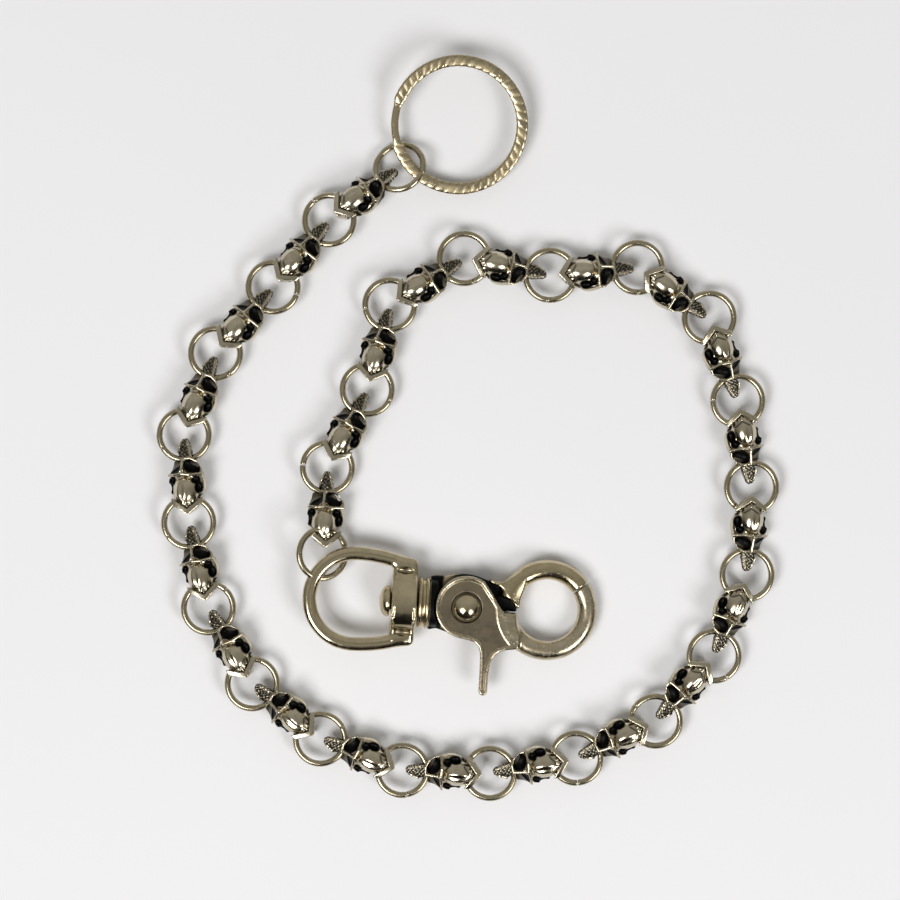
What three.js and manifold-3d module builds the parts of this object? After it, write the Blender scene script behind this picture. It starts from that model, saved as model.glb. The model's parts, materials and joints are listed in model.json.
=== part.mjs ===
// A wallet chain: cast skull links joined by round jump rings, with a split key ring on one end
// and a swivel trigger snap on the other. It lies coiled on a flat surface, in millimetres, +Z up.
import * as THREE from 'three';
import { mergeVertices } from 'three/addons/utils/BufferGeometryUtils.js';
import Module from 'manifold-3d';

const wasm = await Module();
wasm.setup();

// ---- driving dimensions ----
const gap = 0.3; // between neighbouring pieces

const ringOutside = 11.6; // jump ring, outside diameter
const ringWire = 1.3;
const ringSides = 6; // of the wire's section
const ringSteps = 16; // around the ring

const eyeSpacing = 8.0; // from a link's rear eye to its front eye
const snoutReach = 4.4; // from the front eye to the tip of the snout
const collarReach = 3.5; // from the rear eye to the end of the collar
const linkHeight = 6.6; // from the surface to the crown
const crownHalfWidth = 2.9;
const cheekHalfWidth = 3.8;
const snoutHalfWidth = 1.5;
const linkSides = 8;
const eyeSides = 6;
const eyePlay = 0.36; // between an eye's waist and the wire, all round
const eyeFlare = 1.2; // how much wider an eye's mouth is than its waist
const rearEyeHalfDepth = 2.9; // from the link's middle to the mouth of the eye
const frontEyeHalfDepth = 1.7;

const keyRingOutside = 29;
const keyRingBand = 2.4; // radial width of its flat wire
const keyRingTurn = 1.0; // thickness of each of its two turns
const keyRingTurnGap = 0.2;
const keyRingCrossing = 14; // half the angle that the wire takes to pass from one turn to the other
const keyRingCrossingAt = 178; // where that is, as a heading
const keyRingSlope = 9; // side to side, where it leans on the jump ring
const keyRingRise = 4; // from the jump ring to its middle
const keyRingHeading = 35.4;
const keyRingThreadOffset = 1.9; // from the jump ring's middle to the band's middle

const barrelHalfWidth = 5.9;
const barrelHalfHeight = 4.3;
const barrelLength = 5.2;
const swivelBore = 2.1;
const swivelStem = 1.8;
const swivelHeadRadius = 3.3;
const swivelHeadLength = 2.0;
const bowRadius = 9.45; // of the swivel eye, to the middle of its bar
const bowCentre = 12.8; // behind the barrel's front face
const eyeBarWidth = 2.9;
const eyeBarHeight = 2.5;
const eyeFootHalfWidth = 7.8; // to the middle of the bar, where it meets the foot
const eyeFootHeight = 3.6;

const collarHalfWidth = 5.4;
const collarHalfHeight = 4.0;
const collarLength = 2.4;
const neckHalfWidth = 4.8;
const neckHalfHeight = 3.0;
const neckLength = 1.0;
const hookRingOutside = 21;
const hookRingBar = 4.1;
const hookRingAhead = 24.8; // from the collar to the middle of the hook's ring
const pivotAhead = 7.8; // from the collar to the pivot
const pivotAside = -0.35;
const splitAngle = 37.5; // where the hook's ring opens, as a heading
const bodyFloor = -2.6;
const bodyTop = -0.1;
const leverThickness = 2.2;
const discRadius = 6.5;
const tabHalfWidth = 0.9;
const tabReach = 18.4; // from the hook's axis to the end of the thumb tab
const rivetRadius = 1.5;
const rivetHeadRadius = 2.7;
const rivetHeadHeight = 1.3;
const rivetSeatDepth = 0.4;
const springPocketRadius = 3.7;
const springPocketDepth = 1.9;
const springWire = 0.5;
const springTurns = 2.5;

const hookHeading = -3.6; // in plan
const hookDip = 3.4; // nose down, from the barrel to the hook's ring
const hookPlace = [-7.1, -31.75]; // of the barrel's front face, in plan

const threadAngle = 129; // where the last jump ring hangs on the bow
const threadOffset = 2.1; // from the bow's bar to the ring's middle
const threadTwist = 28.5; // between the ring and the eye, about the bow's radius
const threadDroop = 6; // outer side down, about the bow's bar

// Headings of the links, from the snap to the key ring, as the chain was laid down.
const linkHeadings = [
  87, 63, 75, 32, -11, 5, -35, -71, -81, -93, -112, -132,
  -155, -170, -182, -201, -219, -240, -257, -267, -291, -311, -310, -323,
];
const firstRingLean = -24; // of jump ring 1, sideways, under the key ring
const leanKept = 0.5; // each piece leans this share of what its neighbour nearer the end leans

// ---- finishes ----
const nickel = new THREE.MeshStandardMaterial({ color: 0x9a927c, roughness: 0.2, metalness: 1 });
const castNickel = new THREE.MeshStandardMaterial({ color: 0x857c68, roughness: 0.35, metalness: 1 });
const agedSilver = new THREE.MeshStandardMaterial({ color: 0x8c8470, roughness: 0.25, metalness: 1 });
const paleNickel = new THREE.MeshStandardMaterial({ color: 0xb8ad92, roughness: 0.3, metalness: 1 });
const springSteel = new THREE.MeshStandardMaterial({ color: 0x6a6862, roughness: 0.4, metalness: 1 });

// ---- helpers ----
const degrees = THREE.MathUtils.degToRad;

const polar = (radius, angle, x = 0, y = 0) =>
  new THREE.Vector2(x + radius * Math.cos(degrees(angle)), y + radius * Math.sin(degrees(angle)));

function arc(radius, from, to, steps, x = 0, y = 0) {
  return Array.from({ length: steps + 1 }, (_, i) => polar(radius, from + ((to - from) * i) / steps, x, y));
}

// A closed solid from a row of equal sections. A row that closes on itself needs no ends.
function skin(sections, closed = false) {
  const sides = sections[0].length;
  const points = sections.flat();
  const faces = [];
  const rows = closed ? sections.length : sections.length - 1;
  for (let row = 0; row < rows; row += 1) {
    const next = (row + 1) % sections.length;
    for (let side = 0; side < sides; side += 1) {
      const a = row * sides + side;
      const b = row * sides + ((side + 1) % sides);
      const c = next * sides + ((side + 1) % sides);
      const d = next * sides + side;
      faces.push(a, b, c, a, c, d);
    }
  }
  if (!closed) {
    const last = (sections.length - 1) * sides;
    for (let side = 1; side < sides - 1; side += 1) {
      faces.push(0, side + 1, side);
      faces.push(last, last + side, last + side + 1);
    }
  }
  const geometry = new THREE.BufferGeometry().setFromPoints(points);
  geometry.setIndex(faces);
  return outward(geometry);
}

// The same geometry with its faces pointing out.
function outward(geometry) {
  const place = geometry.attributes.position;
  const index = geometry.index.array;
  const corner = (i) => new THREE.Vector3().fromBufferAttribute(place, index[i]);
  let volume = 0;
  for (let i = 0; i < index.length; i += 3) volume += corner(i).dot(corner(i + 1).cross(corner(i + 2)));
  if (volume < 0) {
    for (let i = 0; i < index.length; i += 3) [index[i], index[i + 1]] = [index[i + 1], index[i]];
  }
  return geometry;
}

// An oval section at a point, in the plane of two directions.
function oval(centre, across, up, halfWidth, halfHeight, sides) {
  return Array.from({ length: sides }, (_, i) => {
    const turn = ((i + 0.5) / sides) * 2 * Math.PI;
    return centre.clone()
      .addScaledVector(across, halfWidth * Math.cos(turn))
      .addScaledVector(up, halfHeight * Math.sin(turn));
  });
}

// The direction of a smooth line at its first point, from its first three points.
const endDirection = (first, second, third) =>
  second.clone().multiplyScalar(4).sub(third).addScaledVector(first, -3);

// A bar of oval section along a row of points in the XY plane.
function bar(points, halfWidth, halfHeight, sides, closed = false) {
  const count = points.length;
  const up = new THREE.Vector3(0, 0, 1);
  const direction = (i) => {
    if (!closed && i === 0) return endDirection(points[0], points[1], points[2]);
    if (!closed && i === count - 1) return endDirection(points[i], points[i - 1], points[i - 2]).negate();
    return points[(i + 1) % count].clone().sub(points[(i + count - 1) % count]);
  };
  return skin(points.map((point, i) => {
    const { x, y } = direction(i).normalize();
    const along = new THREE.Vector3(x, y, 0);
    const across = new THREE.Vector3().crossVectors(up, along);
    return oval(new THREE.Vector3(point.x, point.y, 0), across, up, halfWidth, halfHeight, sides);
  }), closed);
}

function solid(geometry) {
  geometry.deleteAttribute('normal');
  geometry.deleteAttribute('uv');
  const merged = mergeVertices(geometry, 1e-4);
  return new wasm.Manifold(new wasm.Mesh({
    numProp: 3,
    vertProperties: new Float32Array(merged.attributes.position.array),
    triVerts: new Uint32Array(merged.index.array),
  }));
}

function geometryOf(body) {
  const mesh = body.getMesh();
  const geometry = new THREE.BufferGeometry();
  geometry.setAttribute('position', new THREE.BufferAttribute(new Float32Array(mesh.vertProperties), 3));
  geometry.setIndex(new THREE.BufferAttribute(new Uint32Array(mesh.triVerts), 1));
  return geometry;
}

// A turned solid along +Z from [radius, height] pairs.
function turned(profile, sides) {
  return new THREE.LatheGeometry(profile.map(([radius, height]) => new THREE.Vector2(radius, height)), sides)
    .rotateX(Math.PI / 2);
}

function cylinder(radius, bottom, top, sides = 20) {
  return turned([[0, bottom], [radius, bottom], [radius, top], [0, top]], sides);
}

// A turned solid along +X.
const turnedAhead = (profile, sides) => turned(profile, sides).rotateY(Math.PI / 2);

function slab(outline, bottom, top) {
  const shape = new THREE.Shape(outline);
  return new THREE.ExtrudeGeometry(shape, { depth: top - bottom, bevelEnabled: false }).translate(0, 0, bottom);
}

function named(name, geometry, material) {
  const mesh = new THREE.Mesh(geometry, material);
  mesh.name = name;
  return mesh;
}

// ---- jump ring ----
const ringRadius = (ringOutside - ringWire) / 2; // to the middle of the wire

function jumpRingGeometry() {
  const circle = arc(ringRadius, 0, 360, ringSteps).slice(0, ringSteps);
  return bar(circle, ringWire / 2, ringWire / 2, ringSides, true);
}

// ---- skull link: +X is the snout, the eyes run along Y, and the origin is midway between them ----
const eyeHeight = linkHeight / 2;
const halfSpacing = eyeSpacing / 2;

const linkStations = [
  { at: -halfSpacing - collarReach, width: 1.2, low: 2.3, high: 4.5 },
  { at: -halfSpacing - collarReach * 0.6, width: 2.3, low: 1.0, high: 5.6 },
  { at: -halfSpacing, width: crownHalfWidth * 0.97, low: 0.35, high: linkHeight - 0.5 },
  { at: -halfSpacing * 0.4, width: crownHalfWidth * 1.1, low: 0, high: linkHeight },
  { at: halfSpacing * 0.2, width: cheekHalfWidth, low: 0, high: linkHeight - 0.2 },
  { at: halfSpacing * 0.55, width: cheekHalfWidth * 0.93, low: 0.3, high: linkHeight - 0.7 },
  { at: halfSpacing * 0.86, width: snoutHalfWidth * 1.1, low: 0.8, high: linkHeight - 1.0 },
  { at: halfSpacing + snoutReach * 0.45, width: snoutHalfWidth, low: 1.4, high: linkHeight - 1.8 },
  { at: halfSpacing + snoutReach, width: snoutHalfWidth * 0.4, low: 2.6, high: linkHeight - 2.8 },
];

function flaredEye(halfDepth) {
  const waist = ringWire / 2 + eyePlay;
  const profile = [
    [0, -halfDepth * 1.5],
    [waist + eyeFlare * 1.5, -halfDepth * 1.5],
    [waist, 0],
    [waist + eyeFlare * 1.5, halfDepth * 1.5],
    [0, halfDepth * 1.5],
  ];
  return solid(turned(profile, eyeSides).rotateX(Math.PI / 2));
}

function skullLinkGeometry() {
  const across = new THREE.Vector3(0, 1, 0);
  const up = new THREE.Vector3(0, 0, 1);
  const blank = solid(skin(linkStations.map(({ at, width, low, high }) => {
    const middle = new THREE.Vector3(at, 0, (low + high) / 2 - eyeHeight);
    return oval(middle, across, up, width, (high - low) / 2, linkSides);
  })));
  const eyes = flaredEye(rearEyeHalfDepth).translate([-halfSpacing, 0, 0])
    .add(flaredEye(frontEyeHalfDepth).translate([halfSpacing, 0, 0]));
  return geometryOf(blank.subtract(eyes));
}

// ---- key ring: flat wire in two turns that cross over once, lying in its own XY plane ----
const keyRingRadius = (keyRingOutside - keyRingBand) / 2;

function keyRingGeometry() {
  const stepsPerTurn = 28;
  const level = (keyRingTurn + keyRingTurnGap) / 2;
  const endGap = 3; // degrees between an end of the wire and the crossing
  const from = keyRingCrossing + endGap;
  const to = 720 - keyRingCrossing - endGap;
  const count = 2 * stepsPerTurn;
  const sections = Array.from({ length: count + 1 }, (_, i) => {
    const angle = from + ((to - from) * i) / count;
    const share = THREE.MathUtils.clamp((angle - 360) / keyRingCrossing, -1, 1);
    const middle = level * share;
    const heading = degrees(angle + keyRingCrossingAt);
    const corner = (radial, height) => new THREE.Vector3(
      (keyRingRadius + radial) * Math.cos(heading),
      (keyRingRadius + radial) * Math.sin(heading),
      middle + height,
    );
    const half = keyRingBand / 2;
    const thick = keyRingTurn / 2;
    return [corner(-half, -thick), corner(half, -thick), corner(half, thick), corner(-half, thick)];
  });
  return skin(sections);
}

// ---- swivel eye: +X leads through the barrel towards the hook, the origin is on its front face ----
function swivelEyeGeometry() {
  const footAt = -barrelLength / 2;
  const tangent = 98; // degrees where the straight arms leave the bow
  const line = [
    new THREE.Vector2(footAt, eyeFootHalfWidth),
    ...arc(bowRadius, tangent, 360 - tangent, 18, -bowCentre),
    new THREE.Vector2(footAt, -eyeFootHalfWidth),
  ];
  const bow = solid(bar(line, eyeBarWidth / 2, eyeBarHeight / 2, 10));
  const footSide = eyeFootHalfWidth + eyeBarWidth / 2;
  const corner = 1.2;
  const foot = solid(slab([
    new THREE.Vector2(-barrelLength, -footSide),
    new THREE.Vector2(-corner, -footSide),
    new THREE.Vector2(0, -footSide + corner),
    new THREE.Vector2(0, footSide - corner),
    new THREE.Vector2(-corner, footSide),
    new THREE.Vector2(-barrelLength, footSide),
  ], -eyeFootHeight / 2, eyeFootHeight / 2));
  const barrel = solid(turnedAhead([
    [0, -barrelLength], [barrelHalfWidth, -barrelLength], [barrelHalfWidth, 0], [0, 0],
  ], 20).scale(1, 1, barrelHalfHeight / barrelHalfWidth));
  const bore = solid(turnedAhead([
    [0, -barrelLength - 1], [swivelBore, -barrelLength - 1], [swivelBore, 1], [0, 1],
  ], 12));
  return geometryOf(bow.add(foot).add(barrel).subtract(bore));
}

// ---- swivel rivet ----
const collarFrom = gap;
const collarTo = collarFrom + collarLength;

function swivelRivetGeometry() {
  const seat = -barrelLength - gap;
  const end = seat - swivelHeadLength;
  return turnedAhead([
    [0, end],
    [swivelHeadRadius * 0.6, end],
    [swivelHeadRadius, end + swivelHeadLength * 0.5],
    [swivelHeadRadius, seat],
    [swivelStem, seat],
    [swivelStem, collarTo],
    [0, collarTo],
  ], 12);
}

// ---- hook body ----
const pivot = { x: collarTo + pivotAhead, y: pivotAside };
const hookRing = { x: collarTo + hookRingAhead, y: 0 };
const hookRingRadius = (hookRingOutside - hookRingBar) / 2;
const hookRingHalf = hookRingBar / 2;
const leverFloor = bodyTop + gap;
const leverTop = leverFloor + leverThickness;
const bodyReach = discRadius + 1.2; // of the plate under the lever, from the pivot
const splitHalfAngle = THREE.MathUtils.radToDeg(gap / 2 / hookRingRadius) + 0.3;

function hookArc(from, to, steps) {
  return solid(bar(arc(hookRingRadius, from, to, steps, hookRing.x, hookRing.y), hookRingHalf, hookRingHalf, 8));
}

function hookBodyGeometry() {
  const collar = solid(turnedAhead([
    [0, collarFrom], [collarHalfWidth, collarFrom], [collarHalfWidth, collarTo], [0, collarTo],
  ], 20).scale(1, 1, collarHalfHeight / collarHalfWidth));
  const neck = solid(slab([
    new THREE.Vector2(collarTo - 0.4, -neckHalfWidth),
    new THREE.Vector2(collarTo + neckLength, -neckHalfWidth),
    new THREE.Vector2(collarTo + neckLength, neckHalfWidth),
    new THREE.Vector2(collarTo - 0.4, neckHalfWidth),
  ], -neckHalfHeight, neckHalfHeight));
  const plate = solid(slab([
    new THREE.Vector2(collarTo - 0.4, -neckHalfWidth),
    new THREE.Vector2(collarTo + 2, -neckHalfWidth - 0.5),
    ...arc(discRadius, 235, 290, 4, pivot.x, pivot.y),
    ...arc(bodyReach, 320, 360, 3, pivot.x, pivot.y),
    new THREE.Vector2(hookRing.x - hookRingRadius, 1.6),
    new THREE.Vector2(hookRing.x - hookRingRadius, 5.2),
    ...arc(discRadius + 0.5, 45, 115, 5, pivot.x, pivot.y),
    new THREE.Vector2(collarTo + 1.5, neckHalfWidth + 0.4),
    new THREE.Vector2(collarTo - 0.4, neckHalfWidth),
  ], bodyFloor, bodyTop));
  const bridgeFrom = hookRing.x - hookRingRadius;
  const bridge = solid(slab([
    new THREE.Vector2(bridgeFrom - 1.5, 3.7),
    new THREE.Vector2(bridgeFrom + 0.8, 1.0),
    new THREE.Vector2(bridgeFrom + 2.0, 0.3),
    new THREE.Vector2(bridgeFrom + 2.3, 1.8),
    new THREE.Vector2(bridgeFrom + 3.2, 5.0),
    new THREE.Vector2(bridgeFrom + 2.2, 8.0),
    new THREE.Vector2(bridgeFrom - 0.2, 6.0),
    new THREE.Vector2(bridgeFrom - 2.4, 5.4),
    new THREE.Vector2(bridgeFrom - 4.6, 5.9),
  ], -hookRingHalf, hookRingHalf * 0.85));
  const arm = hookArc(splitAngle + splitHalfAngle, 160, 12);
  const discRoom = solid(cylinder(discRadius + gap, bodyTop, 6).translate(pivot.x, pivot.y, 0));
  const pocket = solid(cylinder(springPocketRadius, bodyTop - springPocketDepth, 1, 16)
    .translate(pivot.x, pivot.y, 0));
  const bore = solid(cylinder(rivetRadius + gap, -5, 5, 12).translate(pivot.x, pivot.y, 0));
  const stemBore = solid(turnedAhead([
    [0, 0], [swivelBore, 0], [swivelBore, collarTo + gap], [0, collarTo + gap],
  ], 12));
  return geometryOf(collar.add(neck).add(plate).add(bridge).add(arm)
    .subtract(discRoom).subtract(pocket).subtract(bore).subtract(stemBore));
}

// ---- trigger lever ----
function triggerLeverGeometry() {
  const tabAt = pivot.x + 4.5;
  const plate = solid(slab([
    ...arc(discRadius, 50, 275, 18, pivot.x, pivot.y),
    new THREE.Vector2(tabAt - 1.9, -7.9),
    new THREE.Vector2(tabAt - tabHalfWidth, -9.3),
    ...arc(tabHalfWidth, 180, 360, 6, tabAt, -tabReach + tabHalfWidth),
    new THREE.Vector2(tabAt + tabHalfWidth, -10.6),
    new THREE.Vector2(tabAt + 1.9, -9.1),
    new THREE.Vector2(tabAt + 3.8, -8.6),
    new THREE.Vector2(tabAt + 6.4, -8.6),
    new THREE.Vector2(tabAt + 6.6, -4.6),
    new THREE.Vector2(tabAt + 5.6, -1.0),
    new THREE.Vector2(tabAt + 4.3, -0.9),
    new THREE.Vector2(tabAt + 1.6, 1.9),
  ], leverFloor, leverTop));
  const lowerArc = hookArc(190, 360 + splitAngle - splitHalfAngle, 20);
  const bodyRoom = solid(cylinder(bodyReach + gap, -6, leverFloor, 24).translate(pivot.x, pivot.y, 0));
  const seat = solid(cylinder(rivetHeadRadius + gap, leverTop - rivetSeatDepth, leverTop + 2, 16)
    .translate(pivot.x, pivot.y, 0));
  const bore = solid(cylinder(rivetRadius + gap, -5, 5, 12).translate(pivot.x, pivot.y, 0));
  return geometryOf(plate.add(lowerArc).subtract(bodyRoom).subtract(seat).subtract(bore));
}

// ---- pivot rivet ----
function pivotRivetGeometry() {
  const headFrom = leverTop - rivetSeatDepth + gap;
  const tail = bodyFloor - gap;
  const dome = Array.from({ length: 5 }, (_, i) => {
    const lift = degrees(90 * (i / 4));
    return [rivetHeadRadius * Math.cos(lift), headFrom + 0.3 + rivetHeadHeight * Math.sin(lift)];
  });
  return turned([
    [0, tail - 0.6],
    [rivetRadius + 0.7, tail - 0.4],
    [rivetRadius + 0.7, tail],
    [rivetRadius, tail],
    [rivetRadius, headFrom],
    [rivetHeadRadius, headFrom],
    ...dome.slice(0, 4),
    [0, dome[4][1]],
  ], 16).translate(pivot.x, pivot.y, 0);
}

// ---- trigger spring: a coil round the rivet with two straight legs ----
function triggerSpringGeometry() {
  const coilRadius = (rivetRadius + springPocketRadius) / 2;
  const floor = bodyTop - springPocketDepth + springWire / 2 + 0.15;
  const rise = springPocketDepth - springWire - 0.3;
  const steps = Math.round(springTurns * 10);
  const up = new THREE.Vector3(0, 0, 1);
  return skin(Array.from({ length: steps + 1 }, (_, i) => {
    const turn = degrees((springTurns * 360 * i) / steps);
    const out = new THREE.Vector3(Math.cos(turn), Math.sin(turn), 0);
    const middle = out.clone().multiplyScalar(coilRadius).setZ(floor + (rise * i) / steps);
    return oval(middle, out, up, springWire / 2, springWire / 2, 6);
  })).translate(pivot.x, pivot.y, 0);
}

// ---- placing ----
const lift = (rotation, mesh) => {
  mesh.quaternion.premultiply(rotation);
  return mesh;
};

const about = (axis, angle) => new THREE.Quaternion().setFromAxisAngle(axis.clone().normalize(), degrees(angle));
const xAxis = new THREE.Vector3(1, 0, 0);
const yAxis = new THREE.Vector3(0, 1, 0);
const zAxis = new THREE.Vector3(0, 0, 1);

const layout = new THREE.Group();

// The snap and its eye share one frame: heading, then nose down.
const snap = new THREE.Group();
snap.quaternion.copy(about(zAxis, hookHeading).multiply(about(yAxis, hookDip)));
snap.position.set(hookPlace[0], hookPlace[1], barrelHalfHeight * Math.cos(degrees(hookDip)));
snap.add(named('swivel_eye', swivelEyeGeometry(), nickel));
snap.add(named('swivel_rivet', swivelRivetGeometry(), nickel));
snap.add(named('hook_body', hookBodyGeometry(), nickel));
snap.add(named('trigger_lever', triggerLeverGeometry(), castNickel));
snap.add(named('pivot_rivet', pivotRivetGeometry(), nickel));
snap.add(named('trigger_spring', triggerSpringGeometry(), springSteel));
layout.add(snap);
snap.updateMatrixWorld(true);

// The last jump ring is threaded on the bow.
const ringGeometry = jumpRingGeometry();
const linkGeometry = skullLinkGeometry();
const nodeNumber = (count) => String(count).padStart(2, '0');
const links = linkHeadings.length;

const bowRadial = new THREE.Vector3(Math.cos(degrees(threadAngle)), Math.sin(degrees(threadAngle)), 0);
const bowTangent = new THREE.Vector3(-bowRadial.y, bowRadial.x, 0);
const lastRing = named(`jump_ring_${nodeNumber(links + 1)}`, ringGeometry, nickel);
lift(about(bowRadial, threadTwist), lastRing);
lift(about(bowTangent, threadDroop), lastRing);
const bowPoint = bowRadial.clone().multiplyScalar(bowRadius).add(new THREE.Vector3(-bowCentre, 0, 0));
lastRing.position.copy(bowRadial).multiplyScalar(threadOffset)
  .applyAxisAngle(bowTangent, degrees(threadDroop)).add(bowPoint);
lastRing.quaternion.premultiply(snap.quaternion);
lastRing.position.applyMatrix4(snap.matrixWorld);
layout.add(lastRing);

// Where a jump ring's wire passes in a heading, seen from above.
function wirePoint(ring, heading) {
  const normal = zAxis.clone().applyQuaternion(ring.quaternion);
  const out = new THREE.Vector3(Math.cos(degrees(heading)), Math.sin(degrees(heading)), 0);
  out.z = -(out.x * normal.x + out.y * normal.y) / normal.z;
  return out.normalize().multiplyScalar(ringRadius).add(ring.position);
}

// How far a jump ring's wire leans where it passes in a heading.
function wireLean(ring, heading) {
  const normal = zAxis.clone().applyQuaternion(ring.quaternion);
  const out = wirePoint(ring, heading).sub(ring.position);
  const wire = normal.cross(out).normalize();
  return THREE.MathUtils.radToDeg(Math.asin(wire.z));
}

// How far the piece at a place along the chain leans: 1 is the link at the snap's end, and the
// last place is jump ring 1.
const places = 2 * links;
const lastRingLean = wireLean(lastRing, linkHeadings[0]);
const leanAt = (place) => lastRingLean * leanKept ** place + firstRingLean * leanKept ** (places - place);

// Then link and ring by turns, to the key ring's end.
let ring = lastRing;
linkHeadings.forEach((heading, i) => {
  const number = links - i;
  const along = new THREE.Vector3(Math.cos(degrees(heading)), Math.sin(degrees(heading)), 0);
  const link = named(`skull_link_${nodeNumber(number)}`, linkGeometry, agedSilver);
  link.quaternion.copy(about(zAxis, heading).multiply(about(xAxis, leanAt(2 * i + 1))));
  link.position.copy(wirePoint(ring, heading)).setZ(eyeHeight).addScaledVector(along, halfSpacing);
  layout.add(link);
  ring = named(`jump_ring_${nodeNumber(number)}`, ringGeometry, nickel);
  ring.quaternion.copy(about(zAxis, heading).multiply(about(xAxis, leanAt(2 * i + 2))));
  ring.position.copy(link.position).addScaledVector(along, halfSpacing + ringRadius);
  layout.add(ring);
});

// The key ring leans on jump ring 1: over its wire on one side and under it on the other.
const towardKeyRing = new THREE.Vector3(Math.cos(degrees(keyRingHeading)), Math.sin(degrees(keyRingHeading)), 0);
const keyRing = named('key_ring', keyRingGeometry(), paleNickel);
keyRing.quaternion.copy(about(towardKeyRing, keyRingSlope));
const riseAxis = zAxis.clone().cross(towardKeyRing);
lift(about(riseAxis, -keyRingRise), keyRing);
keyRing.position.copy(towardKeyRing).multiplyScalar(keyRingRadius)
  .applyAxisAngle(riseAxis, degrees(-keyRingRise)).add(ring.position)
  .addScaledVector(towardKeyRing, keyRingThreadOffset);
layout.add(keyRing);

// The origin is under the middle of the whole, on the surface it lies on.
const box = new THREE.Box3().setFromObject(layout, true);
const middle = box.getCenter(new THREE.Vector3());
layout.position.set(-middle.x, -middle.y, -box.min.z);

const group = new THREE.Group();
group.add(layout);
group.updateMatrixWorld(true);

export default group;
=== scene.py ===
import json
import math
import random

import bpy
import numpy as np
from mathutils import Matrix, Vector


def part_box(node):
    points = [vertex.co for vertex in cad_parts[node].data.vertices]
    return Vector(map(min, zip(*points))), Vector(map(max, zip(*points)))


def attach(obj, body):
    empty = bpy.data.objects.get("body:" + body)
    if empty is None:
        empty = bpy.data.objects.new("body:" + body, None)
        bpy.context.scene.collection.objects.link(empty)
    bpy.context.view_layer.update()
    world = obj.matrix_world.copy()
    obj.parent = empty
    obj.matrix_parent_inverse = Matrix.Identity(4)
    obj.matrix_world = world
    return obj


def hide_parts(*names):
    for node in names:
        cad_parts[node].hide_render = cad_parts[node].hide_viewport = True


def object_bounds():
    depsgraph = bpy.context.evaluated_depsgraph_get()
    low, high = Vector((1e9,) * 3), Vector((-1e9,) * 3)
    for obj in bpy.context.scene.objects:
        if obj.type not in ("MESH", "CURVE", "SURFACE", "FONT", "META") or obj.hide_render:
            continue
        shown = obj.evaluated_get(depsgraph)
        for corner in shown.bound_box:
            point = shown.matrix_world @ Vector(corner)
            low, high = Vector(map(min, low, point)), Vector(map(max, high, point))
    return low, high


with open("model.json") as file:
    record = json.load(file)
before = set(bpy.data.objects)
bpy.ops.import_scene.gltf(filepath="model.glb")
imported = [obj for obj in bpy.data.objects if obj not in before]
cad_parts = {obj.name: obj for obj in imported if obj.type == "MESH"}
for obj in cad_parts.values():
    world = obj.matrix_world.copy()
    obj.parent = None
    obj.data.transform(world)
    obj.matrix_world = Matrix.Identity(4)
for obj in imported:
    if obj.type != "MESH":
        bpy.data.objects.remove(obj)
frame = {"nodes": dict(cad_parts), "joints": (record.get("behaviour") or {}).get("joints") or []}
cad_low, cad_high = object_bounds()

MILLIMETRE = 0.001
LINK_COUNT = 24
RING_COUNT = LINK_COUNT + 1
X_AXIS = Vector((1, 0, 0))
Z_AXIS = Vector((0, 0, 1))
joints = {joint["name"]: joint for joint in frame["joints"]}


# ---- places read from the frame ----
def joint_point(name):
    return Vector(joints[name]["pos_m"])


def joint_axis(name):
    return Vector(joints[name]["axis"]).normalized()


def node_middle(node):
    low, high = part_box(node)
    return (low + high) / 2


def place_of(origin, ahead, up):
    """The place with its origin there, X ahead and Z as near up as it can be."""
    x = ahead.normalized()
    y = up.cross(x).normalized()
    z = x.cross(y)
    rotation = Matrix((x, y, z)).transposed().to_4x4()
    return Matrix.Translation(origin) @ rotation


def upward(direction):
    return direction if direction.z > 0 else -direction


# ---- sizes, in millimetres ----
RING_RADIUS = 5.15  # to the middle of a jump ring's wire
RING_WIRE = 1.3
HALF_SPACING = 4.0  # half the way between a link's two eyes
RING_REACH = HALF_SPACING + RING_RADIUS  # from a link's middle to a jump ring's
HOOD_TIP = 7.5  # how far behind a link's middle its hood's point is
FACE_ROLL = math.radians(18)  # how far a skull's face is rolled about the chain
LINK_GRID = 0.15  # the spacing that a link's skin is worked out on
BARREL_HALF = (5.8, 4.2)  # half the oval barrel's width and height
BARREL_LENGTH = 5.2
BARREL_LEAN = math.radians(-12)  # how far its oval is turned about its axis
BOW_CENTRE = -12.8
BOW_RADIUS = 9.45  # to the middle of the bow's bar
BOW_HALF_WIDE = 1.45
BOW_HALF_HIGH = 1.25
BOW_SQUARENESS = 2.3  # 2 would be an oval bar, and more is squarer
SWIVEL_BORE = 2.1
COLLAR_HALF = (5.4, 4.0)  # half the oval collar's width and height
PIVOT = (10.5, -0.35)
PIVOT_BORE = 1.8
DISC_RADIUS = 6.5  # the round end of the lever
HOOK_RING = (27.5, 0.0)
HOOK_RING_RADIUS = 8.45
HOOK_RING_BAR = 2.05  # half its thickness
SPLIT_ANGLE = 37.5  # where the hook's ring is parted
HALF_SPLIT = 1.3  # half the parting, in degrees
SNAP_GRID = 0.2  # the spacing that the snap's skins are worked out on
LEVER_GRID = 0.19


# ---- solids given as fields: negative inside, in millimetres ----
def egg(p, centre, radii):
    """An ellipsoid."""
    q = [(p[i] - centre[i]) / radii[i] for i in range(3)]
    reach = np.sqrt(q[0] ** 2 + q[1] ** 2 + q[2] ** 2)
    slope = np.sqrt(sum((q[i] / radii[i]) ** 2 for i in range(3)))
    return reach * (reach - 1) / np.maximum(slope, 1e-6)


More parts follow.
